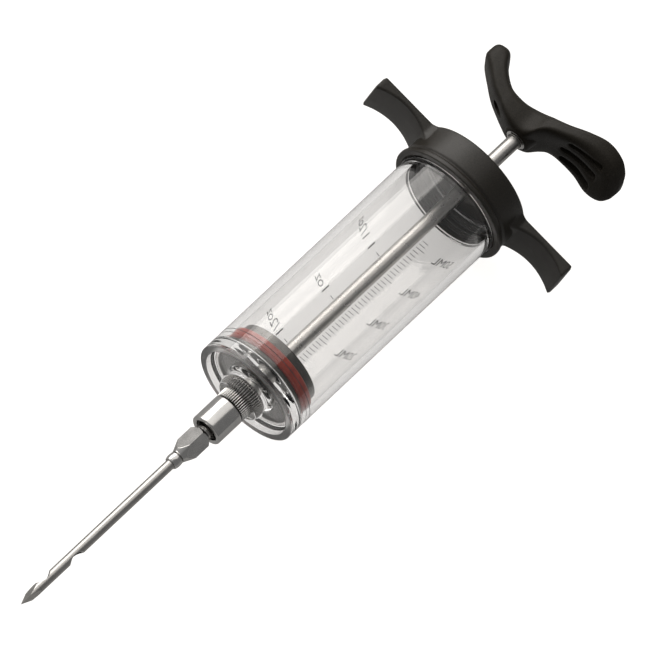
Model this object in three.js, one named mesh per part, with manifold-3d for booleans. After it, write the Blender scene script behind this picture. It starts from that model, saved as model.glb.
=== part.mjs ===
// A 50 mL marinade injector lying on its side, in millimetres, +Z up.
//
// The needle points along -X, the plunger handle along +X and the cap's finger wings along Y.
// Every piece is modelled around the X axis, with x = 0 at the barrel's front rim. At the end
// the whole group is moved so that its box is centred over the origin and stands on z = 0.

import * as THREE from 'three';
import { mergeVertices } from 'three/addons/utils/BufferGeometryUtils.js';
import Module from 'manifold-3d';

const wasm = await Module();
wasm.setup();

// ---------------------------------------------------------------- driving dimensions

const GAP = 0.3;            // clearance kept between pieces that touch or thread together

const BARREL_R = 17.5;      // clear barrel, outside
const BORE_R = 15.15;       // clear barrel, inside
const BARREL_END = 92.8;    // open rear end, inside the cap
const SKIRT = 1.9;          // how far the front rim stands proud of the floor
const FLOOR = 2.8;          // thickness of the clear floor
const BOSS_R = 7.9;         // clear boss that holds the metal insert
const BOSS_FRONT = -3.6;

const INSERT_R = 5.2;       // knurled insert
const KNURL_TEETH = 36;
const KNURL_DEPTH = 0.35;
const COLLAR_R = 5.15;      // smooth metal lock collar
const COLLAR_FRONT = -16.9;
const COLLAR_REAR = -7.2;
const SOCKET_R = 3.75;      // inside of the lock collar
const NOZZLE_TIP = -15.2;

const CAP_FRONT = 85.6;
const CAP_REAR = 97.4;
const LIP_R = 20.0;
const BAND_R = 19.5;
const CAP_MOUTH_R = 18.0;
const CAP_BORE_R = 18.6;
const THREAD_PITCH = 3.0;
const WING_SPAN = 76.6;
const WING_WIDTH = 16.6;
const WING_REAR = 96.6;     // flat rear face of the wings

const ROD_R = 2.25;
const ROD_FRONT = 7.4;
const ROD_REAR = 120.6;
const PISTON_R = 13.8;
const PISTON_FRONT = 5.0;
const PISTON_REAR = 13.5;
const RING_FRONT = 7.2;     // red sealing ring
const RING_REAR = 10.4;
const RING_R = 15.0;
const RING_INNER_R = 11.9;

const HUB_FRONT = 114.8;    // front face of the handle's hub
const HUB_R = 5.0;
const HANDLE_ZERO = 115.6;  // the handle's sections are given from this station
const HANDLE_TURN = -15;    // degrees that the handle is turned about the rod at rest

const NEEDLE_R = 1.55;
const NEEDLE_BORE_R = 1.05;
const HUB_SQUARE = 5.3;     // side of the needle's square grip
const TUBE_REAR = -19.3;
const TUBE_FRONT = -87.0;
const NEEDLE_TIP = -94.3;
const REAR_PORT = -72.3;    // middle of each side port
const FRONT_PORT = -83.7;
const PORT_LENGTH = 6.0;
const PORT_DEPTH = 1.25;

const FINE = 48;            // sides of the large turned pieces
const MEDIUM = 32;
const SMALL = 20;

// ---------------------------------------------------------------- materials

const finish = (color, metalness, roughness) =>
  new THREE.MeshStandardMaterial({ color, metalness, roughness });

const clearPlastic = new THREE.MeshStandardMaterial({
  color: 0xeef0f0, metalness: 0, roughness: 0.05, transparent: true, opacity: 0.35,
});
const blackPlastic = finish(0x25221f, 0, 0.55);
const chrome = finish(0xd8d6d4, 1, 0.12);
const steel = finish(0xb9b6b2, 1, 0.3);
const darkSteel = finish(0x5a5856, 1, 0.35);
const brass = finish(0xb99a5a, 1, 0.35);
const redSilicone = finish(0xb04a3a, 0, 0.5);
const paleSilicone = finish(0xd9d6d0, 0, 0.6);
const blackRubber = finish(0x1d1c1a, 0, 0.7);

// ---------------------------------------------------------------- solids

// Merge a closed three.js geometry into a solid with its faces pointing out.
function solidOf(geometry) {
  const bare = geometry.clone();
  bare.deleteAttribute('normal');
  bare.deleteAttribute('uv');
  const merged = mergeVertices(bare, 1e-4);
  const corner = merged.attributes.position;
  const index = merged.index.array;
  const triangles = [];
  let volume = 0;
  const [a, b, c] = [new THREE.Vector3(), new THREE.Vector3(), new THREE.Vector3()];
  for (let i = 0; i < index.length; i += 3) {
    const [ia, ib, ic] = index.subarray(i, i + 3);
    if (ia === ib || ib === ic || ic === ia) continue;
    a.fromBufferAttribute(corner, ia);
    b.fromBufferAttribute(corner, ib);
    c.fromBufferAttribute(corner, ic);
    volume += a.dot(b.cross(c));
    triangles.push([ia, ib, ic]);
  }
  if (volume < 0) triangles.forEach((triangle) => triangle.reverse());
  return new wasm.Manifold(new wasm.Mesh({
    numProp: 3,
    vertProperties: Float32Array.from(corner.array),
    triVerts: Uint32Array.from(triangles.flat()),
  }));
}

// Turn a profile of [x, radius] points about the X axis.
function turned(profile, sides = MEDIUM) {
  const points = profile.map(([x, r]) => new THREE.Vector2(r, x));
  const onAxis = profile[0][1] === 0 && profile.at(-1)[1] === 0;
  if (!onAxis) points.push(points[0].clone());
  return solidOf(new THREE.LatheGeometry(points, sides).rotateZ(-Math.PI / 2));
}

// A plain round bar, and a plain round tube, from x0 to x1.
const bar = (x0, x1, r, sides = MEDIUM) => turned([[x0, 0], [x0, r], [x1, r], [x1, 0]], sides);
const tube = (x0, x1, outer, inner, sides = MEDIUM) =>
  turned([[x0, inner], [x0, outer], [x1, outer], [x1, inner]], sides);

// Extrude an outline drawn in the Y-Z plane along X, from x0 to x1.
function alongX(shape, x0, x1) {
  const body = new THREE.ExtrudeGeometry(shape, {
    depth: x1 - x0, bevelEnabled: false, curveSegments: 8,
  });
  // shape x -> Y, shape y -> Z, depth -> X
  const toX = new THREE.Matrix4().makeBasis(
    new THREE.Vector3(0, 1, 0), new THREE.Vector3(0, 0, 1), new THREE.Vector3(1, 0, 0));
  return solidOf(body.applyMatrix4(toX).translate(x0, 0, 0));
}

// Extrude an outline drawn in the X-Y plane along Z, centred on z = 0.
function alongZ(shape, height) {
  const body = new THREE.ExtrudeGeometry(shape, {
    depth: height, bevelEnabled: false, curveSegments: 14,
  });
  return solidOf(body.translate(0, 0, -height / 2));
}

// Ring-shaped ridges of a simplified thread, as profile points for a turned piece.
function ridges(centres, base, crest) {
  const foot = 0.8;
  const flat = 0.25;
  return centres.flatMap((x) => {
    const way = centres.length > 1 ? Math.sign(centres.at(-1) - centres[0]) : 1;
    return [
      [x - way * foot, base], [x - way * flat, crest], [x + way * flat, crest], [x + way * foot, base],
    ];
  });
}

// ---------------------------------------------------------------- barrel and nozzle

function barrel() {
  const floorFront = SKIRT;
  const floorRear = SKIRT + FLOOR;
  const pocketR = INSERT_R + GAP;
  const pocketRear = 1.0;
  const spigotR = 2.4;
  const threads = [CAP_FRONT + 2.2, CAP_FRONT + 2.2 + THREAD_PITCH];
  return turned([
    [0, BARREL_R - 0.4], [0.4, BARREL_R],
    ...ridges(threads, BARREL_R, BARREL_R + 0.35),
    [BARREL_END - 0.3, BARREL_R], [BARREL_END, BARREL_R - 0.3],
    [BARREL_END, BORE_R + 0.3], [BARREL_END - 0.3, BORE_R],
    [floorRear + 0.8, BORE_R], [floorRear + 0.2, BORE_R - 0.25], [floorRear, BORE_R - 0.9],
    [floorRear, spigotR], [pocketRear, spigotR], [pocketRear, pocketR],
    [BOSS_FRONT, pocketR], [BOSS_FRONT, BOSS_R - 1.3], [BOSS_FRONT + 0.7, BOSS_R - 0.75],
    [floorFront - 1.2, BOSS_R], [floorFront, BOSS_R + 0.9],
    [floorFront, BORE_R - 0.5], [floorFront - 0.5, BORE_R], [0, BORE_R + 0.2],
  ], FINE);
}

// Metal stem: a spigot through the clear floor, a body inside the insert, the nozzle in front.
function nozzleStem() {
  const passage = 0.7;
  return turned([
    [NOZZLE_TIP, passage], [NOZZLE_TIP, 1.35], [NOZZLE_TIP + 0.3, 1.5],
    [COLLAR_REAR - 0.2, 1.85], [COLLAR_REAR + 0.5, 1.85], [COLLAR_REAR + 0.5, 2.9],
    [0.6, 2.9], [0.6, 2.1], [4.4, 2.1], [4.4, passage],
  ], SMALL);
}

function knurledInsert() {
  const outline = new THREE.Shape();
  const steps = KNURL_TEETH * 2;
  for (let i = 0; i < steps; i += 1) {
    const angle = (i / steps) * 2 * Math.PI;
    const r = i % 2 ? INSERT_R - KNURL_DEPTH : INSERT_R;
    outline[i ? 'lineTo' : 'moveTo'](r * Math.cos(angle), r * Math.sin(angle));
  }
  outline.closePath();
  return alongX(outline, -6.9, 0.7).subtract(bar(-8, 2, 2.9 + GAP, SMALL));
}

function lockCollar() {
  const inner = COLLAR_REAR - 1.2;
  const threads = [-11.2, -13.2, -15.2];
  return turned([
    [COLLAR_FRONT, SOCKET_R + 0.25], [COLLAR_FRONT, COLLAR_R - 0.4],
    [COLLAR_FRONT + 0.4, COLLAR_R], [COLLAR_REAR - 0.2, COLLAR_R],
    [COLLAR_REAR, COLLAR_R - 0.2], [COLLAR_REAR, 2.2], [inner, 2.2], [inner, SOCKET_R],
    ...ridges(threads, SOCKET_R, SOCKET_R - 0.2), [COLLAR_FRONT + 0.25, SOCKET_R],
  ], MEDIUM);
}

const needleGasket = () => tube(-9.7, -8.7, 3.3, 2.2, SMALL);

// ---------------------------------------------------------------- screw cap

// One finger wing: a saddle with a flat rear face and a hollowed front face.
function wing(side) {
  const tip = side * WING_SPAN / 2;
  const root = side * 15;
  const shape = new THREE.Shape();
  shape.moveTo(WING_REAR, root);
  shape.lineTo(WING_REAR, tip);
  shape.lineTo(WING_REAR - 4.9, tip);
  shape.quadraticCurveTo(WING_REAR + 0.6, side * 29.5, WING_REAR - 4.7, side * 19.6);
  shape.lineTo(WING_REAR - 4.7, root);
  shape.closePath();
  return alongZ(shape, WING_WIDTH);
}

function screwCap() {
  const shell = turned([
    [CAP_FRONT, 0], [CAP_FRONT, LIP_R - 0.3], [CAP_FRONT + 0.3, LIP_R],
    [CAP_FRONT + 1.5, LIP_R], [CAP_FRONT + 2.2, BAND_R - 0.5], [CAP_FRONT + 3.0, BAND_R],
    [CAP_REAR - 0.8, BAND_R], [CAP_REAR - 0.2, BAND_R - 0.3], [CAP_REAR, BAND_R - 0.8],
    [CAP_REAR, 0],
  ], FINE);
  const roof = BARREL_END + 1.2;
  const threads = [CAP_FRONT + 3.7, CAP_FRONT + 6.3];
  const cavity = turned([
    [CAP_FRONT - 1, 0], [CAP_FRONT - 1, CAP_MOUTH_R], [CAP_FRONT + 1.2, CAP_MOUTH_R],
    [CAP_FRONT + 1.6, CAP_BORE_R], ...ridges(threads, CAP_BORE_R, CAP_BORE_R - 0.35),
    [roof, CAP_BORE_R], [roof, 0],
  ], FINE);
  return shell.add(wing(1)).add(wing(-1)).subtract(cavity).subtract(bar(80, 100, 4.3 + GAP));
}

const capGasket = () => tube(BARREL_END + GAP, BARREL_END + 0.9, 17.4, 15.3, FINE);

function rodGuide() {
  const flange = BARREL_END + 0.9;
  return turned([
    [flange - 1.6, ROD_R + GAP], [flange - 1.6, 6.2], [flange, 6.2], [flange, 4.3],
    [CAP_REAR + 0.4, 4.3], [CAP_REAR + 0.4, ROD_R + GAP],
  ], MEDIUM);
}

// ---------------------------------------------------------------- plunger

function plungerRod() {
  const shoulder = PISTON_REAR + GAP;
  const screwHole = 1.55;
  return turned([
    [ROD_FRONT, screwHole], [ROD_FRONT, ROD_R], [shoulder, ROD_R], [shoulder, 3.4],
    [shoulder + 1.4, 3.4], [shoulder + 1.4, ROD_R], [ROD_REAR - 0.4, ROD_R],
    [ROD_REAR, ROD_R - 0.4], [ROD_REAR, 0], [ROD_FRONT + 7.5, 0], [ROD_FRONT + 7.5, screwHole],
  ], SMALL);
}

function pistonFrontDisc() {
  const rear = RING_FRONT - 0.25;
  return turned([
    [PISTON_FRONT, 3.2], [PISTON_FRONT, PISTON_R - 0.5], [PISTON_FRONT + 0.5, PISTON_R],
    [rear, PISTON_R], [rear, 1.6], [PISTON_FRONT + 1.6, 1.6],
  ], FINE);
}

const pistonCore = () => tube(RING_FRONT + 0.05, RING_REAR - 0.05, 11.5, ROD_R + GAP, MEDIUM);

function pistonRearDisc() {
  const front = RING_REAR + 0.25;
  return turned([
    [front, ROD_R + GAP], [front, PISTON_R], [PISTON_REAR - 0.6, PISTON_R],
    [PISTON_REAR, PISTON_R - 0.6], [PISTON_REAR, ROD_R + GAP],
  ], FINE);
}

function sealRing() {
  const middle = (RING_FRONT + RING_REAR) / 2;
  const half = (RING_REAR - RING_FRONT) / 2;
  const height = RING_R - RING_INNER_R;
  const centre = (RING_R + RING_INNER_R) / 2;
  const profile = [];
  const steps = 10;
  for (let i = 0; i < steps; i += 1) {
    const angle = (-i / steps) * 2 * Math.PI;
    profile.push([middle + half * Math.cos(angle), centre + (height / 2) * Math.sin(angle)]);
  }
  return turned(profile, FINE);
}

function pistonScrew() {
  return turned([
    [PISTON_FRONT + 0.1, 0], [PISTON_FRONT + 0.1, 2.8], [PISTON_FRONT + 1.5, 1.25],
    [ROD_FRONT + 7, 1.25], [ROD_FRONT + 7, 0],
  ], SMALL);
}

// ---------------------------------------------------------------- thumb handle

// Sections along the handle: station u, half width, front and rear face from HANDLE_ZERO, and
// how much further back the +v edge lies than the middle. A broad dished lobe is at +u and a
// narrower upswept arm at -u.
const HANDLE_SECTIONS = [
  [-24.2, 3.4, 13.2, 15.8, 0.0],
  [-23.5, 5.0, 12.2, 17.6, 0.0],
  [-21.8, 6.0, 10.8, 18.4, 0.1],
  [-19.0, 6.4, 8.6, 18.0, 0.1],
  [-16.5, 6.6, 6.6, 14.6, 0.0],
  [-14.0, 6.7, 4.9, 12.1, -0.1],
  [-10.6, 6.8, 3.1, 9.7, -0.1],
  [-8.0, 6.9, 1.7, 9.0, -0.2],
  [-4.0, 6.6, -0.1, 8.8, -0.1],
  [0.0, 6.2, -0.7, 9.7, -0.1],
  [3.0, 6.9, 0.2, 10.4, -0.3],
  [5.0, 7.9, 3.0, 10.7, -0.6],
  [7.0, 8.5, 4.7, 11.0, -0.8],
  [11.0, 9.2, 5.6, 11.5, -0.4],
  [17.0, 9.8, 6.0, 12.6, 0.7],
  [23.0, 9.3, 5.3, 12.9, 2.2],
  [28.4, 7.1, 5.3, 12.0, 2.4],
  [31.2, 4.0, 6.2, 10.8, 1.6],
  [32.2, 1.6, 7.4, 9.6, 0.6],
];

// Slots in the lobe's front face: first and last station, and v.
const LOBE_SLOTS = [[13.5, 26.2, 5.2], [10.9, 25.0, 0], [11.0, 23.9, -5.1]];

// Smooth value of one column of a section table at station u.
function sectionAt(table, u, column) {
  const last = table.length - 1;
  let i = table.findIndex((row) => row[0] > u) - 1;
  if (i < 0) i = u <= table[0][0] ? 0 : last - 1;
  const slope = (k) => {
    const before = table[Math.max(k - 1, 0)];
    const after = table[Math.min(k + 1, last)];
    return (after[column] - before[column]) / (after[0] - before[0]);
  };
  const [from, to] = [table[i], table[i + 1]];
  const span = to[0] - from[0];
  const t = (u - from[0]) / span;
  const start = from[column] * (2 * t ** 3 - 3 * t ** 2 + 1) + to[column] * (3 * t ** 2 - 2 * t ** 3);
  return start + span * (slope(i) * (t ** 3 - 2 * t ** 2 + t) + slope(i + 1) * (t ** 3 - t ** 2));
}

// Bend a cylinder into the handle: its length becomes u, its circle a rounded rectangle.
function handleBlank() {
  const steps = 34;
  const squareness = 0.5;
  const blank = new THREE.CylinderGeometry(1, 1, 1, 22, steps);
  const corner = blank.attributes.position;
  const [first, last] = [HANDLE_SECTIONS[0][0], HANDLE_SECTIONS.at(-1)[0]];
  const soften = (value) => Math.sign(value) * Math.abs(value) ** squareness;
  for (let i = 0; i < corner.count; i += 1) {
    const way = 0.5 - 0.5 * Math.cos((corner.getY(i) + 0.5) * Math.PI);
    const u = first + (last - first) * way;
    const [half, front, rear, lean] = [1, 2, 3, 4].map((k) => sectionAt(HANDLE_SECTIONS, u, k));
    const across = soften(corner.getZ(i));
    const v = half * across;
    const x = (front + rear) / 2 + ((rear - front) / 2) * soften(corner.getX(i)) + lean * across;
    corner.setXYZ(i, HANDLE_ZERO + x, -u, v);
  }
  return solidOf(blank);
}

// A slot with round ends, cut into the front face between stations u0 and u1.
function slot(u0, u1, v, width, front, depth) {
  const r = width / 2;
  const shape = new THREE.Shape();
  shape.absarc(-(u1 - r), v, r, Math.PI / 2, 1.5 * Math.PI, false);
  shape.absarc(-(u0 + r), v, r, -Math.PI / 2, Math.PI / 2, false);
  return alongX(shape, HANDLE_ZERO + front - 6, HANDLE_ZERO + front + depth);
}

function thumbHandle() {
  const hub = turned([
    [HUB_FRONT, 0], [HUB_FRONT, HUB_R - 0.5], [HUB_FRONT + 0.5, HUB_R],
    [HANDLE_ZERO + 5.5, HUB_R + 0.4], [HANDLE_ZERO + 5.5, 0],
  ], MEDIUM);
  const dish = solidOf(new THREE.SphereGeometry(1, 24, 14)
    .scale(3.0, 11.5, 9.0)
    .translate(HANDLE_ZERO + 4.9, -17.6, 0));
  let handle = handleBlank().add(hub).subtract(dish);
  for (const [u0, u1, v] of LOBE_SLOTS) handle = handle.subtract(slot(u0, u1, v, 3.0, 7.0, 2.5));
  handle = handle.subtract(slot(-12.9, -7.9, 0.7, 3.2, 3.0, 2.4));
  const seat = bar(HUB_FRONT - 1, HANDLE_ZERO + 5.6, 3.7, MEDIUM);
  return handle.subtract(seat);
}

const handleFerrule = () => turned([
  [HUB_FRONT - 0.3, ROD_R + GAP], [HUB_FRONT - 0.3, 2.9], [HUB_FRONT + 0.1, 3.4],
  [HUB_FRONT + 1.2, 3.4], [HUB_FRONT + 1.2, ROD_R + GAP],
], MEDIUM);
const handleInsert = () => tube(HUB_FRONT + 1.5, ROD_REAR + 0.3, 3.4, ROD_R + GAP, MEDIUM);

// ---------------------------------------------------------------- needle

// Turned hub with a square grip whose corners run out into the round necks.
function needleHub() {
  const flange = -10.0;
  const socketEnd = -15.6;
  const tubeSocket = NEEDLE_R + GAP;
  const outside = turned([
    [flange, 0], [flange, 3.2], [flange - 1.4, 3.2], [flange - 1.9, 2.5], [-18.2, 2.5],
    [-18.9, 3.3], [-19.4, 3.8], [-24.7, 3.8], [-28.3, 2.2], [-28.5, 2.2], [-28.5, 0],
  ], MEDIUM);
  const half = HUB_SQUARE / 2;
  const square = new THREE.Shape();
  square.moveTo(half, half);
  square.lineTo(-half, half);
  square.lineTo(-half, -half);
  square.lineTo(half, -half);
  square.closePath();
  const grip = alongX(square, -30, -18.6).add(bar(-18.9, flange + 1, 4.5, SMALL));
  const hollow = turned([
    [flange + 1, 0], [flange + 1, 2.15], [flange, 2.15], [socketEnd, 1.85], [socketEnd, 0.9],
    [TUBE_REAR + GAP, 0.9], [TUBE_REAR + GAP, tubeSocket], [-30, tubeSocket], [-30, 0],
  ], SMALL);
  return outside.intersect(grip.rotate([45, 0, 0])).subtract(hollow);
}

const needleFerrule = () => turned([
  [-28.8, NEEDLE_R + GAP], [-28.8, 2.1], [-29.1, 2.3], [-30.4, 2.3], [-31.7, 1.95],
  [-31.7, NEEDLE_R + GAP],
], SMALL);

// A scoop that opens the tube's wall on one side, +1 or -1 along Y.
function port(x, side) {
  const half = PORT_LENGTH / 2;
  const r = (half ** 2 + PORT_DEPTH ** 2) / (2 * PORT_DEPTH);
  const scoop = new THREE.CylinderGeometry(r, r, 6, 48).rotateX(Math.PI / 2);
  return solidOf(scoop.translate(x, side * (NEEDLE_R - PORT_DEPTH + r), 0));
}

function needleTube() {
  return tube(TUBE_FRONT, TUBE_REAR, NEEDLE_R, NEEDLE_BORE_R, SMALL)
    .subtract(port(REAR_PORT, -1)).subtract(port(FRONT_PORT, 1));
}

// Closed point: a round bar brought to three ground facets.
function needlePoint() {
  const base = TUBE_FRONT - GAP;
  const length = base - NEEDLE_TIP;
  const facets = new THREE.CylinderGeometry(0.02, 2 * NEEDLE_R, length, 3)
    .rotateZ(Math.PI / 2).translate(base - length / 2, 0, 0);
  return solidOf(facets).intersect(bar(NEEDLE_TIP - 1, base + 1, NEEDLE_R, SMALL));
}

// ---------------------------------------------------------------- assembly

function piece(name, solid, material) {
  const { vertProperties, triVerts } = solid.getMesh();
  const geometry = new THREE.BufferGeometry();
  geometry.setAttribute('position', new THREE.BufferAttribute(vertProperties, 3));
  geometry.setIndex(new THREE.BufferAttribute(triVerts, 1));
  geometry.computeVertexNormals();
  const mesh = new THREE.Mesh(geometry, material);
  mesh.name = name;
  return mesh;
}

const injector = new THREE.Group();

injector.add(
  piece('barrel', barrel(), clearPlastic),
  piece('knurled_insert', knurledInsert(), steel),
  piece('nozzle_stem', nozzleStem(), steel),
  piece('lock_collar', lockCollar(), chrome),
);

injector.add(
  piece('screw_cap', screwCap(), blackPlastic),
  piece('cap_gasket', capGasket(), blackRubber),
  piece('rod_guide', rodGuide(), blackPlastic),
);

injector.add(
  piece('seal_ring', sealRing(), redSilicone),
  piece('piston_front_disc', pistonFrontDisc(), darkSteel),
  piece('piston_core', pistonCore(), darkSteel),
  piece('piston_rear_disc', pistonRearDisc(), darkSteel),
  piece('piston_screw', pistonScrew(), steel),
  piece('plunger_rod', plungerRod(), steel),
);

const handle = new THREE.Group();
handle.rotation.x = THREE.MathUtils.degToRad(HANDLE_TURN);
handle.add(
  piece('thumb_handle', thumbHandle(), blackPlastic),
  piece('handle_ferrule', handleFerrule(), steel),
  piece('handle_insert', handleInsert(), brass),
);
injector.add(handle);

injector.add(
  piece('needle_gasket', needleGasket(), paleSilicone),
  piece('needle_hub', needleHub(), chrome),
  piece('needle_ferrule', needleFerrule(), chrome),
  piece('needle_tube', needleTube(), steel),
  piece('needle_point', needlePoint(), steel),
);

// Centre the box over the origin and stand it on z = 0.
injector.updateMatrixWorld(true);
const box = new THREE.Box3().setFromObject(injector, true);
const middle = box.getCenter(new THREE.Vector3());
injector.position.set(-middle.x, -middle.y, -box.min.z);

export default injector;
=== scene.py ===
"""Looks of a marinade injector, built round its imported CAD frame.

Lengths are millimetres in the barrel's own measure until place() turns them into metres:
x runs backwards from the barrel's front rim, and y and z start on its axis.
"""

import math

import bmesh
import bpy
from mathutils import Matrix, Vector


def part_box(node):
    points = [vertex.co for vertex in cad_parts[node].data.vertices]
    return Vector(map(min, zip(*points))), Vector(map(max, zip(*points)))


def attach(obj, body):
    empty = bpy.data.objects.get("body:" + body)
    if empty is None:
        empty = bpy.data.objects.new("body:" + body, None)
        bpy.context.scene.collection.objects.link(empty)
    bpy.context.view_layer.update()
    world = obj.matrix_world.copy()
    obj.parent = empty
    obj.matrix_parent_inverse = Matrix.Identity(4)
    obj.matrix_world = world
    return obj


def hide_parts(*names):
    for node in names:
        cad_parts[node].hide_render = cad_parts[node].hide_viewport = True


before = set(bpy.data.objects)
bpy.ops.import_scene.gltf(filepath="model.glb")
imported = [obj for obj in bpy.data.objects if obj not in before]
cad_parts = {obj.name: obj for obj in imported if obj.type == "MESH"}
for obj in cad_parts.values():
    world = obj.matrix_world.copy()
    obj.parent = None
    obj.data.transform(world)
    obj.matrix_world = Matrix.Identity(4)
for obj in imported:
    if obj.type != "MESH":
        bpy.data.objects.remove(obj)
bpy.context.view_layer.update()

# ---------------------------------------------------------------- dimensions

MM = 0.001
BOSS_FRONT = -3.6
barrel_low, barrel_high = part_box("barrel")
ORIGIN = Vector((barrel_low.x - BOSS_FRONT * MM, 0, (barrel_low.z + barrel_high.z) / 2))

BARREL_R = 17.5
BORE_R = 15.15
BARREL_END = 92.8
FLOOR_FRONT = 1.9
FLOOR_REAR = 4.7
FROSTED_TO = 0.15           # the rim's front face is matt to this depth, from this radius out
FROSTED_FADE = 0.3
FROSTED_FROM_R = 14.0
FROSTED_ROUGHNESS = 0.38
THREAD_PITCH = 3.0
THREAD_HEIGHT = 0.35

CAP_FRONT = 85.6
CAP_REAR = 97.4
CAP_ROOF = 94.0
LIP_R = 20.0
BAND_R = 19.5
CAP_BORE_R = 18.6
GUIDE_R = 4.3
WING_TIP = 38.3
WING_HALF_WIDTH = 8.25
WING_REAR = 96.6
WING_ROOT_R = 19.05

ROD_R = 2.25
ROD_END = 120.6
PISTON_R = 13.8
HANDLE_ZERO = 115.6
HANDLE_TURN = math.radians(-15)
HUB_FRONT = 114.8
HUB_R = 4.4

COLLAR_FRONT = -16.9
COLLAR_REAR = -7.2
COLLAR_R = 5.15
SOCKET_R = 3.75
KNURL_R = 5.2
KNURL_TEETH = 44
KNURL_DEPTH = 0.65
KNURL_SHADE_FULL, KNURL_SHADE_ENDS = 0.45, 0.12     # depths below the teeth's tops: painted shade in the grooves is full below the first and ends above the second
HUB_SQUARE = 5.3
NEEDLE_R = 1.55
NEEDLE_BORE_R = 1.05
TUBE_FRONT = -87.0
POINT_BASE = TUBE_FRONT - 0.04
NEEDLE_TIP = -94.3
PORTS = ((-72.3, -1), (-83.7, 1))
PORT_LENGTH = 6.0
PORT_DEPTH = 1.25

FINE = 192
MEDIUM = 144
SMALL = 96


def place(x, y, z):
    """A point of the barrel's measure, in metres in the row frame."""
    return ORIGIN + Vector((x, y, z)) * MM


# ---------------------------------------------------------------- mesh tools


def rounded(corners, steps=5):
    """Profile points, with a curve at each corner that has a third number: how far it reaches."""
    points = []
    for i, corner in enumerate(corners):
        here = Vector(corner[:2])
        if len(corner) == 2:
            points.append(tuple(here))
            continue
        before = Vector(corners[i - 1][:2]) - here
        after = Vector(corners[(i + 1) % len(corners)][:2]) - here
        start = here + before.normalized() * min(corner[2], before.length * 0.48)
        end = here + after.normalized() * min(corner[2], after.length * 0.48)
        for k in range(steps + 1):
            t = k / steps
            points.append(tuple(start * (1 - t) ** 2 + here * (2 * t * (1 - t)) + end * t**2))
    return points


def finer(profile, low, high, step=0.14):
    """The profile with extra points between two stations, close enough to carry a thread."""
    points = []
    for i, (x, r) in enumerate(profile):
        points.append((x, r))
        next_x, next_r = profile[(i + 1) % len(profile)]
        if abs(next_x - x) < step or min(x, next_x) > high or max(x, next_x) < low:
            continue
        count = math.ceil(abs(next_x - x) / step)
        for k in range(1, count):
            t = k / count
            if low <= x + (next_x - x) * t <= high:
                points.append((x + (next_x - x) * t, r + (next_r - r) * t))
    return points


def ease(t):
    t = min(1, max(0, t))
    return t * t * (3 - 2 * t)


def turned(profile, sides, offset=None):
    """Vertices and faces of (x, r) points turned about the barrel's axis."""
    verts, rings = [], []
    for x, r in profile:
        if r == 0:
            rings.append([len(verts)])
            verts.append(place(x, 0, 0))
            continue
        rings.append(list(range(len(verts), len(verts) + sides)))
        for k in range(sides):
            angle = 2 * math.pi * k / sides
            radius = r + (offset(x, r, angle) if offset else 0)
            verts.append(place(x, radius * math.cos(angle), radius * math.sin(angle)))
    faces = []
    last = len(rings) if len(rings[0]) > 1 and len(rings[-1]) > 1 else len(rings) - 1
    for i in range(last):
        faces += between(rings[i], rings[(i + 1) % len(rings)])
    return verts, faces


def between(a, b):
    """Faces joining two rings of vertex numbers, either of which may be a single point."""
    count = max(len(a), len(b))
    faces = []
    for k in range(count):
        n = (k + 1) % count
        corners = [a[k % len(a)], a[n % len(a)], b[n % len(b)], b[k % len(b)]]
        faces.append(tuple(dict.fromkeys(corners)))
    return faces


def lofted(rings):
    """Vertices and faces through rings of points, closed by a face at each end."""
    verts = [p for ring in rings for p in ring]
    count = len(rings[0])
    numbers = [list(range(i * count, (i + 1) * count)) for i in range(len(rings))]
    faces = [tuple(numbers[0]), tuple(reversed(numbers[-1]))]
    for i in range(len(rings) - 1):
        faces += between(numbers[i], numbers[i + 1])
    return verts, faces


def mesh_object(name, verts, faces):
    mesh = bpy.data.meshes.new(name)
    mesh.from_pydata([tuple(v) for v in verts], [], faces)
    form = bmesh.new()
    form.from_mesh(mesh)
    bmesh.ops.recalc_face_normals(form, faces=form.faces)
    form.to_mesh(mesh)
    form.free()
    obj = bpy.data.objects.new(name, mesh)
    bpy.context.scene.collection.objects.link(obj)
    return obj


def smooth(obj, sharp=32.0):
    """Shade smooth, with edges that turn more than that many degrees kept sharp."""
    obj.data.polygons.foreach_set("use_smooth", [True] * len(obj.data.polygons))
    obj.data.set_sharp_from_angle(angle=math.radians(sharp))
    return obj


def combine(obj, other, operation):
    """Add other to obj or take it away, and remove other."""
    modifier = obj.modifiers.new("combine", "BOOLEAN")
    modifier.operation = operation
    modifier.solver = "EXACT"
    modifier.object = other
    depsgraph = bpy.context.evaluated_depsgraph_get()
    mesh = bpy.data.meshes.new_from_object(obj.evaluated_get(depsgraph))
    obj.modifiers.clear()
    obj.data = mesh
    bpy.data.objects.remove(other)
    return obj


def fit(obj, body, material, nodes=()):
    """Give a finished piece its material and its body, and hide the CAD nodes that it stands for."""
    obj.data.materials.clear()
    obj.data.materials.append(material)
    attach(obj, body)
    if nodes:
        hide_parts(*nodes)
    return obj


def turned_piece(name, profile, body, material, nodes=(), sides=SMALL, offset=None,
                 sharp=32.0):
    obj = smooth(mesh_object(name, *turned(profile, sides, offset)), sharp)
    return fit(obj, body, material, nodes)


def helix(start, end, height, half_width=0.75):
    """Radius offset of a thread between two stations, fading out over half a turn at each end."""
    def offset(x, _r, angle):
        if not start <= x <= end:
            return 0
        turn = (x - start) / THREAD_PITCH - angle / (2 * math.pi)
        away = abs(turn - round(turn)) * THREAD_PITCH
        flank = min(1, max(0, (half_width - away) / (half_width * 0.6)))
        fade = min(1, (x - start) / 1.0, (end - x) / 1.0)
        return height * flank * fade
    return offset


# ---------------------------------------------------------------- materials


def new_material(name, colour, metallic, roughness, **sockets):
    material = bpy.data.materials.new(name)
    material.use_nodes = True
    shader = material.node_tree.nodes["Principled BSDF"]
    shader.inputs["Base Color"].default_value = (*colour, 1)
    shader.inputs["Metallic"].default_value = metallic
    shader.inputs["Roughness"].default_value = roughness
    for socket, value in sockets.items():
        shader.inputs[socket.replace("_", " ")].default_value = value
    return material, shader


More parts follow.
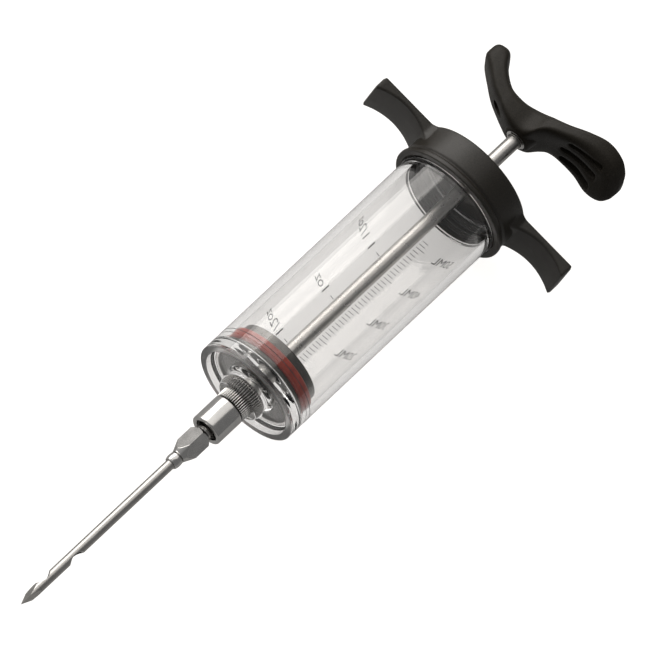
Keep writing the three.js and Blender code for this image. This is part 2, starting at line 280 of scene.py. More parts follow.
def add(material, kind, **settings):
    """A new node, with its settings and its unlinked inputs' values."""
    node = material.node_tree.nodes.new(kind)
    for key, value in settings.items():
        if hasattr(node, key):
            setattr(node, key, value)
        else:
            node.inputs[key.replace("_", " ")].default_value = value
    return node


def position(material):
    """Place on the piece in millimetres, measured from the barrel's axis."""
    nodes = add(material, "ShaderNodeTexCoord")
    mapping = add(material, "ShaderNodeMapping", vector_type="TEXTURE",
                  Location=(ORIGIN.x, 0, ORIGIN.z), Scale=(MM, MM, MM))
    material.node_tree.links.new(nodes.outputs["Object"], mapping.inputs["Vector"])
    return mapping.outputs["Vector"]


def round_axis(material, vector):
    """(x, radius, 0) of a place, so a pattern made from it runs round the axis in rings."""
    link = material.node_tree.links.new
    parts = add(material, "ShaderNodeSeparateXYZ")
    link(vector, parts.inputs[0])
    flat = add(material, "ShaderNodeCombineXYZ")
    link(parts.outputs["Y"], flat.inputs["Y"])
    link(parts.outputs["Z"], flat.inputs["Z"])
    length = add(material, "ShaderNodeVectorMath", operation="LENGTH")
    link(flat.outputs[0], length.inputs[0])
    joined = add(material, "ShaderNodeCombineXYZ")
    link(parts.outputs["X"], joined.inputs["X"])
    link(length.outputs["Value"], joined.inputs["Y"])
    return joined.outputs[0]


def noise(material, vector, scale, detail=2.0, roughness=0.5):
    node = add(material, "ShaderNodeTexNoise", Scale=scale, Detail=detail, Roughness=roughness)
    material.node_tree.links.new(vector, node.inputs["Vector"])
    return node.outputs["Fac"]


def spread(material, value, low, high, socket, band=(0.3, 0.7)):
    """Stretch a noise value over low to high, and feed it to a socket."""
    node = add(material, "ShaderNodeMapRange")
    node.inputs["From Min"].default_value, node.inputs["From Max"].default_value = band
    node.inputs["To Min"].default_value, node.inputs["To Max"].default_value = low, high
    material.node_tree.links.new(value, node.inputs["Value"])
    material.node_tree.links.new(node.outputs["Result"], socket)


def tint(material, value, dark, light, socket):
    """Vary a colour between two by a noise value."""
    ramp = add(material, "ShaderNodeValToRGB")
    ramp.color_ramp.elements[0].position, ramp.color_ramp.elements[1].position = 0.3, 0.7
    ramp.color_ramp.elements[0].color, ramp.color_ramp.elements[1].color = (*dark, 1), (*light, 1)
    material.node_tree.links.new(value, ramp.inputs["Fac"])
    material.node_tree.links.new(ramp.outputs["Color"], socket)


def bump(material, height, depth_mm, shader):
    node = add(material, "ShaderNodeBump", Strength=1.0, Distance=depth_mm * MM)
    material.node_tree.links.new(height, node.inputs["Height"])
    material.node_tree.links.new(node.outputs["Normal"], shader.inputs["Normal"])


def black_plastic(name, shine, rough):
    """Grained black plastic; shine is its specular level and rough its lowest roughness."""
    material, shader = new_material(name, (0.012, 0.0105, 0.0085), 0, 0.45,
                                    Specular_IOR_Level=shine)
    where = position(material)
    grain = noise(material, where, 3.2, 3.0, 0.6)
    cloud = noise(material, where, 0.12, 2.0)
    bump(material, grain, 0.07, shader)
    spread(material, cloud, rough, rough + 0.08, shader.inputs["Roughness"])
    tint(material, grain, (0.007, 0.0056, 0.0036), (0.025, 0.0212, 0.0155), shader.inputs["Base Color"])
    return material


def knurled_metal(name, top, groove, roughness):
    """Bright metal with shade painted dark into the grooves between its teeth, by their distance from the
    axis.
    """
    material, shader = new_material(name, top, 1.0, roughness)
    links = material.node_tree.links
    where = position(material)
    parts = add(material, "ShaderNodeSeparateXYZ")
    links.new(round_axis(material, where), parts.inputs[0])
    # Painted shade: below the teeth's tops the colour fades to the dark groove colour.
    groove_shade_mask = add(material, "ShaderNodeMapRange", From_Min=KNURL_R - KNURL_SHADE_FULL,
                From_Max=KNURL_R - KNURL_SHADE_ENDS)
    links.new(parts.outputs["Y"], groove_shade_mask.inputs["Value"])
    colour = add(material, "ShaderNodeMix", data_type="RGBA")
    links.new(groove_shade_mask.outputs["Result"], colour.inputs["Factor"])
    colour.inputs[6].default_value = (*groove, 1)
    colour.inputs[7].default_value = (*top, 1)
    links.new(colour.outputs[2], shader.inputs["Base Color"])
    bump(material, noise(material, where, 9.0, 2.0), 0.003, shader)
    return material


def turned_metal(name, colour, roughness, lines, depth, spread_of=0.05, **sockets):
    """Metal with fine turning marks that run round the axis."""
    material, shader = new_material(name, colour, 1.0, roughness, **sockets)
    where = position(material)
    rings = noise(material, round_axis(material, where), lines, 3.0, 0.7)
    cloud = noise(material, where, 0.35, 3.0)
    bump(material, rings, depth, shader)
    spread(material, cloud, roughness - spread_of, roughness + spread_of, shader.inputs["Roughness"])
    dark = tuple(c * 0.9 for c in colour)
    tint(material, cloud, dark, colour, shader.inputs["Base Color"])
    return material


def silicone(name, dark, light):
    material, shader = new_material(name, light, 0, 0.42, Specular_IOR_Level=0.4)
    where = position(material)
    cloud = noise(material, where, 0.5, 3.0)
    tint(material, cloud, dark, light, shader.inputs["Base Color"])
    bump(material, noise(material, where, 6.0, 2.0), 0.01, shader)
    spread(material, cloud, 0.36, 0.48, shader.inputs["Roughness"])
    return material


def clear_plastic():
    """Clear moulded plastic, which lets lamps through to what is inside it."""
    material, shader = new_material("clear_plastic", (0.91, 0.905, 0.90), 0, 0.015,
                                    Transmission_Weight=1.0, IOR=1.53)
    where = position(material)
    scuff = noise(material, where, 1.2, 4.0, 0.65)
    links = material.node_tree.links
    parts = add(material, "ShaderNodeSeparateXYZ")
    links.new(round_axis(material, where), parts.inputs[0])
    rim = add(material, "ShaderNodeMapRange",
              From_Min=FROSTED_TO, From_Max=FROSTED_TO + FROSTED_FADE, To_Min=FROSTED_ROUGHNESS, To_Max=0.0)
    links.new(parts.outputs["X"], rim.inputs["Value"])
    outer = add(material, "ShaderNodeMath", operation="GREATER_THAN")
    links.new(parts.outputs["Y"], outer.inputs[0])
    outer.inputs[1].default_value = FROSTED_FROM_R
    frost = add(material, "ShaderNodeMath", operation="MULTIPLY")
    links.new(rim.outputs["Result"], frost.inputs[0])
    links.new(outer.outputs[0], frost.inputs[1])
    rough = add(material, "ShaderNodeMath", operation="MAXIMUM")
    links.new(frost.outputs[0], rough.inputs[0])
    spread(material, scuff, 0.006, 0.02, rough.inputs[1], (0.45, 0.75))
    links.new(rough.outputs[0], shader.inputs["Roughness"])
    tint(material, noise(material, where, 0.05, 1.0), (0.90, 0.895, 0.89), (0.92, 0.915, 0.91),
         shader.inputs["Base Color"])
    rays = add(material, "ShaderNodeLightPath")
    through = add(material, "ShaderNodeBsdfTransparent", Color=(0.93, 0.93, 0.93, 1))
    mix = add(material, "ShaderNodeMixShader")
    links.new(rays.outputs["Is Shadow Ray"], mix.inputs["Fac"])
    links.new(shader.outputs["BSDF"], mix.inputs[1])
    links.new(through.outputs["BSDF"], mix.inputs[2])
    links.new(mix.outputs["Shader"], material.node_tree.nodes["Material Output"].inputs["Surface"])
    return material


def printing_ink():
    material, shader = new_material("printing_ink", (0.03, 0.03, 0.032), 0, 0.5)
    where = position(material)
    cloud = noise(material, where, 3.0, 3.0)
    tint(material, cloud, (0.02, 0.02, 0.022), (0.06, 0.06, 0.062), shader.inputs["Base Color"])
    return material


BLACK = black_plastic("black_plastic", 0.42, 0.34)
HANDLE_BLACK = black_plastic("handle_plastic", 0.19, 0.42)
CLEAR = clear_plastic()
CHROME = turned_metal("chrome", (0.62, 0.61, 0.595), 0.17, 14.0, 0.0015, 0.03)
STEEL = turned_metal("satin_steel", (0.48, 0.468, 0.45), 0.30, 9.0, 0.004, Anisotropic=0.4)
# The knurl's steel: bright tops, with the second colour as painted shade in its grooves.
BRIGHT_STEEL = knurled_metal("bright_steel", (0.92, 0.905, 0.88), (0.03, 0.029, 0.027), 0.2)
DARK_STEEL = turned_metal("dark_steel", (0.115, 0.11, 0.103), 0.34, 8.0, 0.005)
BRASS = turned_metal("brass", (0.60, 0.44, 0.20), 0.3, 8.0, 0.005)
RED = silicone("red_silicone", (0.24, 0.024, 0.011), (0.33, 0.038, 0.019))
PALE = silicone("pale_silicone", (0.60, 0.585, 0.555), (0.74, 0.72, 0.69))
RUBBER = silicone("black_rubber", (0.018, 0.017, 0.016), (0.026, 0.025, 0.023))
INK = printing_ink()

# ---------------------------------------------------------------- barrel and nozzle


def barrel():
    """Clear barrel: open at the back, with a thick floor, a boss and the moulded-in insert's seat."""
    seat = KNURL_R - 0.5        # inside the insert's teeth, so plastic and metal meet
    spigot = 1.9
    profile = rounded([
        (0, BARREL_R, 0.3), (84.7, BARREL_R), (85.0, BARREL_R + 0.28, 0.1), (85.3, BARREL_R + 0.28, 0.1),
        (85.6, BARREL_R), (BARREL_END, BARREL_R, 0.4), (BARREL_END, BORE_R, 0.5),
        (FLOOR_REAR, BORE_R, 1.3), (FLOOR_REAR, spigot), (0.6, spigot), (0.6, seat),
        (BOSS_FRONT, seat, 0.1), (BOSS_FRONT, 7.0, 0.5), (-1.3, 8.0, 0.4), (-0.7, 7.1, 0.4),
        (0.9, 7.0, 0.8), (FLOOR_FRONT, 8.6, 0.4), (FLOOR_FRONT, BORE_R, 0.3),
        (0, BORE_R + 0.15, 0.12),
    ])
    thread = helix(86.0, 92.0, THREAD_HEIGHT)
    turned_piece("barrel_clear", finer(profile, 85.8, 92.2), "barrel_body", CLEAR, ["barrel"],
                 FINE, lambda x, r, a: thread(x, r, a) if r > BORE_R + 1 else 0, 40)


def knurl(x, r, angle):
    """Teeth round the insert, run out at both ends."""
    if r < KNURL_R - 0.2:
        return 0
    return -KNURL_DEPTH * ease(0.7 - 1.1 * math.cos(KNURL_TEETH * angle))


def nozzle():
    turned_piece("insert_knurled", rounded([
        (-6.9, 3.2, 0.1), (-6.9, KNURL_R - 0.35), (-6.6, KNURL_R), (0.4, KNURL_R),
        (0.7, KNURL_R - 0.35), (0.7, 3.2),
    ]), "barrel_body", BRIGHT_STEEL, ["knurled_insert"], KNURL_TEETH * 10, knurl, 60)
    turned_piece("nozzle_stem_turned", rounded([
        (-15.2, 0.7, 0.15), (-15.2, 1.45, 0.25), (-7.4, 1.85), (-6.7, 1.85, 0.2),
        (-6.7, 2.9, 0.2), (0.6, 2.9), (0.6, 2.1), (4.4, 2.1, 0.3), (4.4, 0.7, 0.15),
    ]), "barrel_body", STEEL, ["nozzle_stem"])
    inner = COLLAR_REAR - 1.2
    profile = finer(rounded([
        (inner, SOCKET_R), (inner, 2.2, 0.1), (COLLAR_REAR, 2.2, 0.1), (COLLAR_REAR, COLLAR_R, 0.35),
        (COLLAR_FRONT, COLLAR_R, 0.55), (COLLAR_FRONT, 4.0, 0.1), (COLLAR_FRONT + 0.3, SOCKET_R),
    ]), COLLAR_FRONT + 0.7, inner - 0.6, 0.1)
    thread = helix(COLLAR_FRONT + 0.9, inner - 0.9, -0.3, 0.6)
    turned_piece("collar_chromed", profile, "barrel_body", CHROME, ["lock_collar"],
                 MEDIUM, lambda x, r, a: thread(x, r, a) if r < SOCKET_R + 0.1 else 0)


barrel()
nozzle()

# ---------------------------------------------------------------- screw cap


def rounded_box(low, high, half, reach, steps=4, side=14):
    """Ring of (x, z) points round a box with rounded corners."""
    ring = []
    for sx, sz, first in ((1, 1, 0), (-1, 1, 1), (-1, -1, 2), (1, -1, 3)):
        centre = ((high - reach) if sx > 0 else (low + reach), sz * (half - reach))
        for k in range(steps + 1):
            angle = (first + k / steps) * math.pi / 2
            ring.append((centre[0] + reach * math.cos(angle), centre[1] + reach * math.sin(angle)))
        if first % 2 == 1:
            continue
        end = ring[-1]
        far = (low + reach, end[1]) if sx > 0 else (high - reach, end[1])
        ring += [(end[0] + (far[0] - end[0]) * k / side, end[1]) for k in range(1, side)]
    return ring


def saddle(y):
    """Front face of a wing at a distance from the axis: a shallow hollow for the finger."""
    root, tip = 19.6, WING_TIP
    t = min(1, max(0, (y - root) / (tip - root)))
    from_rear = 4.75 * (1 - t) ** 2 + (-0.7) * 2 * t * (1 - t) + 4.95 * t**2
    return WING_REAR - from_rear


def wing(side):
    """A finger wing that flares where it meets the cap's band."""
    stations = 56
    flare_reach, edge = 2.2, 0.7
    rings = []
    for i in range(stations + 1):
        t = i / stations
        middle = WING_ROOT_R + (WING_TIP - WING_ROOT_R) * t
        tip_way = max(0, (middle - (WING_TIP - edge)) / edge)
        inset = edge * (1 - math.sqrt(max(0, 1 - tip_way**2)))
        flare = max(0, 1 - (middle - WING_ROOT_R) / flare_reach) ** 2
        ring = rounded_box(saddle(middle) + inset - 1.6 * flare, WING_REAR - inset + 0.45 * flare,
                           WING_HALF_WIDTH - inset + 1.9 * flare, edge)
        points = []
        for x, z in ring:
            root = math.sqrt(WING_ROOT_R**2 - min(z * z, 150))
            points.append(place(x, side * (root + (WING_TIP - root) * t), z))
        rings.append(points)
    return mesh_object("wing", *lofted(rings))


def screw_cap():
    profile = finer(rounded([
        (CAP_ROOF, CAP_BORE_R, 0.4), (CAP_ROOF, GUIDE_R + 0.3, 0.2), (CAP_REAR, GUIDE_R + 0.3, 0.2),
        (CAP_REAR, BAND_R, 1.0), (CAP_FRONT + 3.0, BAND_R, 0.5), (CAP_FRONT + 2.2, BAND_R - 0.55, 0.5),
        (CAP_FRONT + 1.5, LIP_R, 0.5), (CAP_FRONT, LIP_R, 0.45), (CAP_FRONT, 17.95, 0.35),
        (CAP_FRONT + 1.2, 17.95, 0.2), (CAP_FRONT + 1.6, CAP_BORE_R, 0.2),
    ]), CAP_FRONT + 1.9, CAP_ROOF - 0.5)
    thread = helix(87.9, 93.2, -0.4)
    cap = mesh_object("cap_shell", *turned(
        profile, FINE, lambda x, r, a: thread(x, r, a) if GUIDE_R + 1 < r < BAND_R - 0.8 else 0))
    for side in (-1, 1):
        combine(cap, wing(side), "UNION")
    fit(smooth(cap, 38), "cap_body", BLACK, ["screw_cap"])
    turned_piece("cap_gasket_ring", rounded([
        (93.1, 15.3, 0.15), (93.1, 17.4, 0.15), (93.7, 17.4, 0.15), (93.7, 15.3, 0.15),
    ]), "cap_gasket_body", RUBBER, ["cap_gasket"], FINE)
    bore = ROD_R + 0.25
    turned_piece("rod_guide_bush", rounded([
        (92.1, bore, 0.2), (92.1, 6.2, 0.25), (93.7, 6.2, 0.1), (93.7, GUIDE_R, 0.1),
        (97.3, GUIDE_R, 0.3), (97.3, bore, 0.25),
    ]), "cap_body", BLACK, ["rod_guide"])


screw_cap()

# ---------------------------------------------------------------- plunger


def plunger():
    screw_hole, shoulder = 1.55, 13.8
    turned_piece("plunger_rod_ground", rounded([
        (14.9, 0), (14.9, screw_hole), (7.4, screw_hole), (7.4, ROD_R), (shoulder, ROD_R),
        (shoulder, 3.4, 0.3), (shoulder + 1.4, 3.4, 0.5), (shoulder + 1.4, ROD_R, 0.3),
        (ROD_END, ROD_R, 0.4), (ROD_END, 0),
    ]), "plunger_body", STEEL, ["plunger_rod"])
    turned_piece("piston_disc_front", rounded([
        (5.0, 3.2, 0.2), (5.0, PISTON_R, 0.45), (6.95, PISTON_R, 0.15), (6.95, 1.6), (6.6, 1.6),
    ]), "plunger_body", DARK_STEEL, ["piston_front_disc"], FINE)
    turned_piece("piston_spacer", [(7.25, 2.55), (7.25, 11.5), (10.35, 11.5), (10.35, 2.55)],
                 "plunger_body", DARK_STEEL, ["piston_core"], MEDIUM)
    turned_piece("piston_disc_rear", rounded([
        (10.65, 2.55), (10.65, PISTON_R, 0.15), (13.5, PISTON_R, 0.55), (13.5, 2.55, 0.2),
    ]), "plunger_body", DARK_STEEL, ["piston_rear_disc"], FINE)
    turned_piece("piston_screw_head", rounded([
        (5.1, 0), (5.1, 2.8, 0.2), (6.5, 1.25), (14.4, 1.25), (14.4, 0),
    ]), "plunger_body", STEEL, ["piston_screw"])
    turned_piece("seal_ring_red", rounded([
        (7.0, 11.9, 0.8), (7.0, 14.9, 1.0), (8.85, 15.1, 0.5), (10.6, 14.9, 1.0), (10.6, 11.9, 0.8),
    ]), "seal_body", RED, ["seal_ring"], FINE)


plunger()

# ---------------------------------------------------------------- thumb handle

# Station u, half width, front and rear face from HANDLE_ZERO, and how much further back the
# +v edge lies than the middle. The broad finger lobe is at +u and the narrower arm at -u.
HANDLE_SECTIONS = (
    (-24.2, 3.4, 13.2, 15.8, 0.0),
    (-23.5, 5.0, 12.2, 17.6, 0.0),
    (-21.8, 6.0, 10.8, 18.3, 0.1),
    (-19.0, 6.4, 8.6, 18.0, 0.1),
    (-16.5, 6.6, 6.6, 14.6, 0.0),
    (-14.0, 6.7, 4.9, 12.1, -0.1),
    (-10.6, 6.8, 3.1, 9.7, -0.1),
    (-8.0, 6.9, 1.7, 9.0, -0.2),
    (-4.0, 6.6, -0.1, 8.8, -0.1),
    (0.0, 6.2, -0.7, 9.7, -0.1),
    (3.0, 6.9, 0.2, 10.4, -0.3),
    (5.0, 7.9, 3.0, 10.7, -0.6),
    (7.0, 8.5, 4.7, 11.0, -0.8),
    (11.0, 9.2, 5.6, 11.5, -0.4),
    (17.0, 9.8, 6.0, 12.6, 0.7),
    (23.0, 9.3, 5.3, 12.9, 2.2),
    (28.4, 7.1, 5.3, 12.0, 2.4),
    (31.2, 4.0, 6.2, 10.8, 1.6),
    (32.2, 1.6, 7.4, 9.6, 0.6),
)
# Slots in the lobe's front face: first and last station, and v.
LOBE_SLOTS = ((13.5, 26.2, 5.2), (10.9, 25.0, 0.0), (11.0, 23.9, -5.1))
LOBE_SLOT_WIDTH = 2.6
LOBE_SLOT_BACK = 8.2
SLOT_LIP = 1.5              # half width from which the soft lips of the lobe's slots rise
ARM_SLOT = (-12.9, -7.9, 0.7)
ARM_SLOT_WIDTH = 3.8
ARM_SLOT_BACK = 5.4


def section_at(u):
    """Smooth section of the handle at station u."""
    rows = HANDLE_SECTIONS
    last = len(rows) - 1
    i = next((k for k in range(last) if rows[k + 1][0] > u), last - 1)

    def slope(k, column):
        before, after = rows[max(k - 1, 0)], rows[min(k + 1, last)]
        return (after[column] - before[column]) / (after[0] - before[0])

    span = rows[i + 1][0] - rows[i][0]
    t = (u - rows[i][0]) / span
    values = []
    for column in range(1, 5):
        a, b = rows[i][column], rows[i + 1][column]
        values.append(a * (2 * t**3 - 3 * t**2 + 1) + b * (3 * t**2 - 2 * t**3) + span * (
            slope(i, column) * (t**3 - 2 * t**2 + t) + slope(i + 1, column) * (t**3 - t**2)))
    return values


def from_slot(u, v, slot):
    """Distance from a point of the front face to a slot's lip, negative inside it."""
    u0, u1, middle = slot
    along = max(0, abs(u - (u0 + u1) / 2) - ((u1 - u0) / 2 - SLOT_LIP))
    return math.hypot(along, v - middle) - SLOT_LIP


def on_handle(x, u, v):
    """A point of the handle's own measure, turned about the rod as the handle is."""
    y, z = -u, v
    c, s = math.cos(HANDLE_TURN), math.sin(HANDLE_TURN)
    return place(HANDLE_ZERO + x, y * c - z * s, y * s + z * c)


def handle_blank():
    stations, around = 260, 144
    first, last = HANDLE_SECTIONS[0][0], HANDLE_SECTIONS[-1][0]
    rings = []
    for i in range(stations + 1):
        way = i / stations
        u = first + (last - first) * (0.5 - 0.5 * math.cos(math.pi * way)) * 0.25 + (
            last - first) * way * 0.75
        half, front, rear, lean = section_at(u)
        lobe = ease((u - 3) / 7)
        ring = []
        for k in range(around):
            angle = 2 * math.pi * k / around
            c, s = math.cos(angle), math.sin(angle)
            power = 3.6 if s > 0 else 4.6 - 0.9 * lobe
            r = (abs(c)**power + abs(s)**power)**(-1 / power)
            across, up = r * c, r * s
            v = half * across
            x = (front + rear) / 2 + (rear - front) / 2 * up + lean * across
            if s < 0:
                x += front_relief(u, v)
            ring.append(on_handle(x, u, v))
        rings.append(ring)
    return mesh_object("handle_black", *lofted(rings))


def front_relief(u, v):
    """How far the front face is pushed back: a dish in the lobe and soft lips round its slots."""
    reach = math.hypot((u - 17.8) / 11.2, v / 7.9)
    depth = 0.85 * ease((1.08 - reach) / 0.75)
    nearest = min(from_slot(u, v, slot) for slot in LOBE_SLOTS)
    return depth + 0.22 * ease(1 - nearest / 0.55)


def slot_cutter(u0, u1, middle, width, front, back):
    """A bar with round ends that cuts a slot in the front face."""
    r, steps = width / 2, 20
    outline = []
    for centre, start in ((u1 - r, -90), (u0 + r, 90)):
        for k in range(steps + 1):
            angle = math.radians(start + 180 * k / steps)
            outline.append((centre + r * math.cos(angle), middle + r * math.sin(angle)))
    rings = [[on_handle(x, u, v) for u, v in outline] for x in (front, back)]
    return mesh_object("cutter", *lofted(rings))


def thumb_handle():
    handle = handle_blank()
    hub = rounded([(HUB_FRONT, 0), (HUB_FRONT, HUB_R, 0.9), (118.5, HUB_R + 0.6, 1.5),
                   (121.1, HUB_R + 0.7), (121.1, 0)])
    combine(handle, mesh_object("hub", *turned(hub, SMALL)), "UNION")
    for slot in LOBE_SLOTS:
        combine(handle, slot_cutter(*slot, LOBE_SLOT_WIDTH, 0.0, LOBE_SLOT_BACK), "DIFFERENCE")
    combine(handle, slot_cutter(*ARM_SLOT, ARM_SLOT_WIDTH, -3.0, ARM_SLOT_BACK), "DIFFERENCE")
    seat = mesh_object("cutter", *turned([(110, 0), (110, 3.55), (121.2, 3.55), (121.2, 0)], SMALL))
    combine(handle, seat, "DIFFERENCE")
    fit(smooth(handle, 40), "plunger_body", HANDLE_BLACK, ["thumb_handle"])
    bore = ROD_R + 0.2
    turned_piece("ferrule_bright", rounded([
        (114.5, bore, 0.15), (114.5, 2.9, 0.2), (114.9, 3.45, 0.2), (116.0, 3.45), (116.0, bore),
    ]), "plunger_body", CHROME, ["handle_ferrule"])
    turned_piece("insert_brass", rounded([
        (116.3, bore), (116.3, 3.4, 0.2), (120.9, 3.4, 0.2), (120.9, bore),
    ]), "plunger_body", BRASS, ["handle_insert"])


thumb_handle()

# ---------------------------------------------------------------- needle


def square_grip(x, r, angle):
    """Flats of the square grip, whose corners point up, down and sideways."""
    if x > -18.6 or r < 2.6:
        return 0
    quarter = angle % (math.pi / 2) - math.pi / 4
    return min(0, HUB_SQUARE / 2 / math.cos(quarter) - r)


def facets(x, r, angle):
    """Three ground faces of the closed point, which meet at its tip."""
    reach = NEEDLE_R * (x - NEEDLE_TIP) / (POINT_BASE - NEEDLE_TIP)
    third = (angle + math.pi / 6) % (2 * math.pi / 3) - math.pi / 3
    return min(0, reach / math.cos(third) - r)


def needle():
    profile = finer(rounded([
        (-18.2, 2.5, 0.2), (-18.9, 3.3), (-19.4, 3.8, 0.2), (-24.7, 3.8, 0.3), (-28.3, 2.2, 0.3),
        (-28.5, 2.2, 0.1), (-28.5, 1.5), (-15.6, 1.5), (-15.6, 1.85), (-10.0, 2.15, 0.1),
        (-10.0, 3.2, 0.2), (-11.4, 3.2, 0.2), (-11.9, 2.5, 0.2),
    ]), -28.1, -18.6, 0.1)
    turned_piece("needle_hub_turned", profile, "needle_body", CHROME, ["needle_hub"],
                 192, square_grip, 34)
    turned_piece("needle_gasket_ring", rounded([
        (-9.7, 2.2, 0.2), (-9.7, 3.3, 0.3), (-8.7, 3.3, 0.3), (-8.7, 2.2, 0.2),
    ]), "needle_gasket_body", PALE, ["needle_gasket"])
    turned_piece("ferrule_needle", rounded([
        (-28.8, 1.6), (-28.8, 2.15, 0.3), (-30.4, 2.3, 0.6), (-31.7, 2.0, 0.3), (-31.7, 1.6, 0.1),
    ]), "needle_body", CHROME, ["needle_ferrule"])
    tube = mesh_object("needle_tube_drawn", *turned([
        (TUBE_FRONT, NEEDLE_BORE_R), (-19.3, NEEDLE_BORE_R), (-19.3, NEEDLE_R), (TUBE_FRONT, NEEDLE_R),
    ], SMALL))
    for x, side in PORTS:
        combine(tube, port_cutter(x, side), "DIFFERENCE")
    fit(smooth(tube), "needle_body", STEEL, ["needle_tube"])
    point = finer([
        (NEEDLE_TIP, 0), (NEEDLE_TIP + 0.03, NEEDLE_R), (POINT_BASE, NEEDLE_R), (POINT_BASE, 0),
    ], NEEDLE_TIP, POINT_BASE, 0.08)
    turned_piece("needle_point_ground", point, "needle_body", STEEL, ["needle_point"],
                 120, facets, 30)


def port_cutter(x, side):
    """A round scoop that opens the tube's wall on one side."""
    half = PORT_LENGTH / 2
    r = (half**2 + PORT_DEPTH**2) / (2 * PORT_DEPTH)
    steps = 96
    rings = [[
        place(x + r * math.cos(2 * math.pi * k / steps),
              side * (NEEDLE_R - PORT_DEPTH + r + r * math.sin(2 * math.pi * k / steps)), z)
        for k in range(steps)] for z in (-3, 3)]
    return mesh_object("cutter", *lofted(rings))


needle()

# ---------------------------------------------------------------- printed scale

PRINT_R = BARREL_R + 0.03
PRINT_DEPTH = 0.04
MILLILITRE = 1.384          # length of the bore that holds one millilitre
ZERO_AT = 6.9
LETTER_SIZE = 4.3
ML_AT, ML_STRETCH = -19.4, 0.95         # where labels start round the barrel, and their stretch
OUNCE_AT, OUNCE_STRETCH = 6.8, 1.25
OUNCE_ML = 28.35            # millilitres in the scale's ounce


def on_barrel(around, x, height):
    """A point of the print: a distance round the barrel from its lowest line, and a station."""
    angle = around / BARREL_R
    radius = PRINT_R + height
    return place(x, radius * math.sin(angle), -radius * math.cos(angle))


def printed(name, flat):
    """Wrap a flat mesh in millimetres, x round the barrel and y along it, onto the barrel."""
    form = bmesh.new()
    form.from_mesh(flat)
    low = min(v.co.x for v in form.verts)
    high = max(v.co.x for v in form.verts)
    cuts = int((high - low) / 0.6)
    for k in range(1, cuts + 1):
        bmesh.ops.bisect_plane(form, geom=form.verts[:] + form.edges[:] + form.faces[:],
                               plane_co=(low + (high - low) * k / (cuts + 1), 0, 0),
                               plane_no=(1, 0, 0))
    for v in form.verts:
        v.co = on_barrel(v.co.x, v.co.y, v.co.z)
    mesh = bpy.data.meshes.new(name)
    form.to_mesh(mesh)
    form.free()
    obj = bpy.data.objects.new(name, mesh)
    bpy.context.scene.collection.objects.link(obj)
    return fit(obj, "barrel_body", INK)


def label(name, text, around, x, stretch):
    """A label that starts at a place round the barrel and is centred on a station."""
    curve = bpy.data.curves.new(name, "FONT")
    curve.body = text
    curve.size = LETTER_SIZE
    curve.extrude = PRINT_DEPTH / 2
    curve.resolution_u = 4
    words = bpy.data.objects.new(name, curve)
    bpy.context.scene.collection.objects.link(words)
    bpy.context.view_layer.update()
    mesh = bpy.data.meshes.new_from_object(words.evaluated_get(bpy.context.evaluated_depsgraph_get()))
    bpy.data.objects.remove(words)
    mesh.transform(Matrix.Translation((around, x - LETTER_SIZE * 0.35, PRINT_DEPTH / 2))
                   @ Matrix.Diagonal((stretch, 1, 1, 1)))
    printed(name, mesh)


def dashes(name, marks):
    """Short lines round the barrel: each is (start, end, station, width)."""
    verts, faces = [], []
    for start, end, x, width in marks:
        base = len(verts)
        for z in (0, PRINT_DEPTH):
            verts += [(start, x - width / 2, z), (end, x - width / 2, z), (end, x + width / 2, z),
                      (start, x + width / 2, z)]
        a, b, c, d, e, f, g, h = range(base, base + 8)
        faces += [(d, c, b, a), (e, f, g, h), (a, b, f, e), (b, c, g, f), (c, d, h, g), (d, a, e, h)]
    mesh = bpy.data.meshes.new(name)
    mesh.from_pydata(verts, [], faces)
    printed(name, mesh)


def scale():
    marks = []
    for k in range(0, 53):
        long = 5.7 if k % 10 == 0 else 4.6
        marks.append((-long, -2.3, ZERO_AT + k * MILLILITRE, 0.16))
    dashes("scale_ticks_ml", marks)
    for k in (20, 30, 40, 50):
        label(f"scale_label_{k}", f"{k}ML", ML_AT, ZERO_AT + k * MILLILITRE, ML_STRETCH)
    ounce = OUNCE_ML * MILLILITRE
    for share, text, name in ((0.5, "1/2oz", "half"), (1.0, "1oz", "one"), (1.5, "1 1/2oz", "more")):
        at = ZERO_AT + share * ounce
        dashes(f"scale_dash_{name}", [(3.7, 5.2, at, 0.2)])
        label(f"scale_label_{name}", text, OUNCE_AT, at, OUNCE_STRETCH)
    ring = rounded([(7.85, BARREL_R + 0.01), (7.85, PRINT_R), (8.05, PRINT_R), (8.05, BARREL_R + 0.01)])
    turned_piece("scale_start_ring", ring, "barrel_body", INK, sides=FINE)


scale()

# ---------------------------------------------------------------- stage, lights and camera

FLOOR_GLOW = 0.62           # strength of the floor's own light
FLOOR_SEEN = 0.33           # added where the camera sees it
FLOOR_REFLECTED = -0.50     # added where a surface reflects it


def floor():
    """A pale floor that looks white behind the object and stays dim in its reflections."""
    size = 12.0
    obj = mesh_object("floor", [(-size, -size, 0), (size, -size, 0), (size, size, 0), (-size, size, 0)],
                      [(0, 1, 2, 3)])
    material, shader = new_material("floor_paper", (0.35, 0.35, 0.35), 0, 0.9,
                                    Specular_IOR_Level=0.1)
    shader.inputs["Emission Color"].default_value = (1, 0.985, 0.965, 1)
    links = material.node_tree.links
    rays = add(material, "ShaderNodeLightPath")
    seen, glow = (add(material, "ShaderNodeMath", operation="MULTIPLY_ADD") for _ in range(2))
    seen.inputs[1].default_value, seen.inputs[2].default_value = FLOOR_SEEN, FLOOR_GLOW
    glow.inputs[1].default_value = FLOOR_REFLECTED
    links.new(rays.outputs["Is Camera Ray"], seen.inputs[0])
    links.new(rays.outputs["Is Reflection Ray"], glow.inputs[0])
    links.new(seen.outputs[0], glow.inputs[2])
    links.new(glow.outputs[0], shader.inputs["Emission Strength"])
    obj.data.materials.append(material)


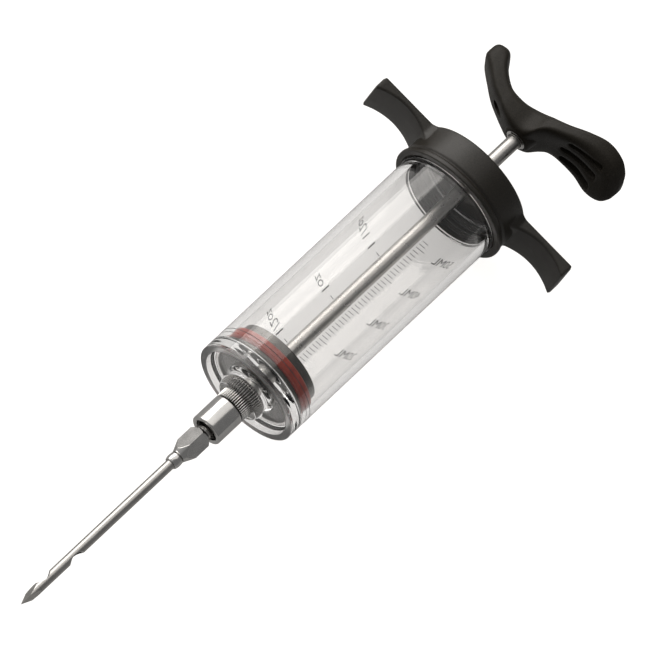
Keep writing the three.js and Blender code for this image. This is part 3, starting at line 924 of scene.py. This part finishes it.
def softbox(name, place_at, size, power):
    """A rectangular lamp that faces the object."""
    lamp = bpy.data.lights.new(name, "AREA")
    lamp.shape = "RECTANGLE"
    lamp.size, lamp.size_y = size
    lamp.energy = power
    lamp.color = (1.0, 0.97, 0.935)
    obj = bpy.data.objects.new(name, lamp)
    obj.location = place_at
    obj.rotation_mode = "QUATERNION"
    obj.rotation_quaternion = Vector(place_at).to_track_quat("Z", "Y")
    obj.visible_camera = False
    bpy.context.scene.collection.objects.link(obj)


def studio():
    floor()
    softbox("softbox_left", (0.40, 1.00, 0.50), (1.5, 0.85), 11.0)
    softbox("softbox_high", (0.43, 0.42, 1.05), (1.3, 0.95), 3.0)
    world = bpy.data.worlds.new("studio")
    world.use_nodes = True
    tree = world.node_tree
    coordinates = tree.nodes.new("ShaderNodeTexCoord")
    parts = tree.nodes.new("ShaderNodeSeparateXYZ")
    ramp = tree.nodes.new("ShaderNodeValToRGB")
    way = tree.nodes.new("ShaderNodeMapRange")
    way.inputs["From Min"].default_value = -1
    stops = ((0.0, 0.20), (0.44, 0.20), (0.6, 0.35), (1.0, 0.5))
    while len(ramp.color_ramp.elements) < len(stops):
        ramp.color_ramp.elements.new(0.5)
    for element, (at, grey) in zip(ramp.color_ramp.elements, stops):
        element.position = at
        element.color = (grey, grey, grey, 1)
    tree.links.new(coordinates.outputs["Generated"], parts.inputs[0])
    tree.links.new(parts.outputs["Y"], way.inputs["Value"])
    tree.links.new(way.outputs["Result"], ramp.inputs["Fac"])
    tree.links.new(ramp.outputs["Color"], tree.nodes["Background"].inputs["Color"])
    bpy.context.scene.world = world
    bpy.context.scene.view_settings.view_transform = "Standard"


def camera():
    """Looks along the injector from its front and above, with a long lens."""
    tilt, roll, turn = math.radians(22.6), math.radians(3.0), math.radians(43.2)
    width, lens, sensor = 0.1857, 1000.0, 36.0
    up_axis = Vector((0, -math.sin(roll), math.cos(roll)))
    back = up_axis * math.cos(tilt) - Vector((1, 0, 0)) * math.sin(tilt)
    along = Vector((1, 0, 0)) * math.cos(tilt) + up_axis * math.sin(tilt)
    across = Vector((0, -math.cos(roll), -math.sin(roll)))
    right = along * math.cos(turn) + across * math.sin(turn)
    up = along * math.sin(turn) - across * math.cos(turn)
    target = place(32.3, -1.27, 0)
    data = bpy.data.cameras.new("camera")
    data.lens, data.sensor_width = lens, sensor
    data.clip_start, data.clip_end = 0.5, 40
    obj = bpy.data.objects.new("camera", data)
    basis = Matrix((right, up, back)).transposed()
    obj.matrix_world = Matrix.Translation(target + back * (width * lens / sensor)) @ basis.to_4x4()
    bpy.context.scene.collection.objects.link(obj)
    bpy.context.scene.camera = obj


studio()
camera()
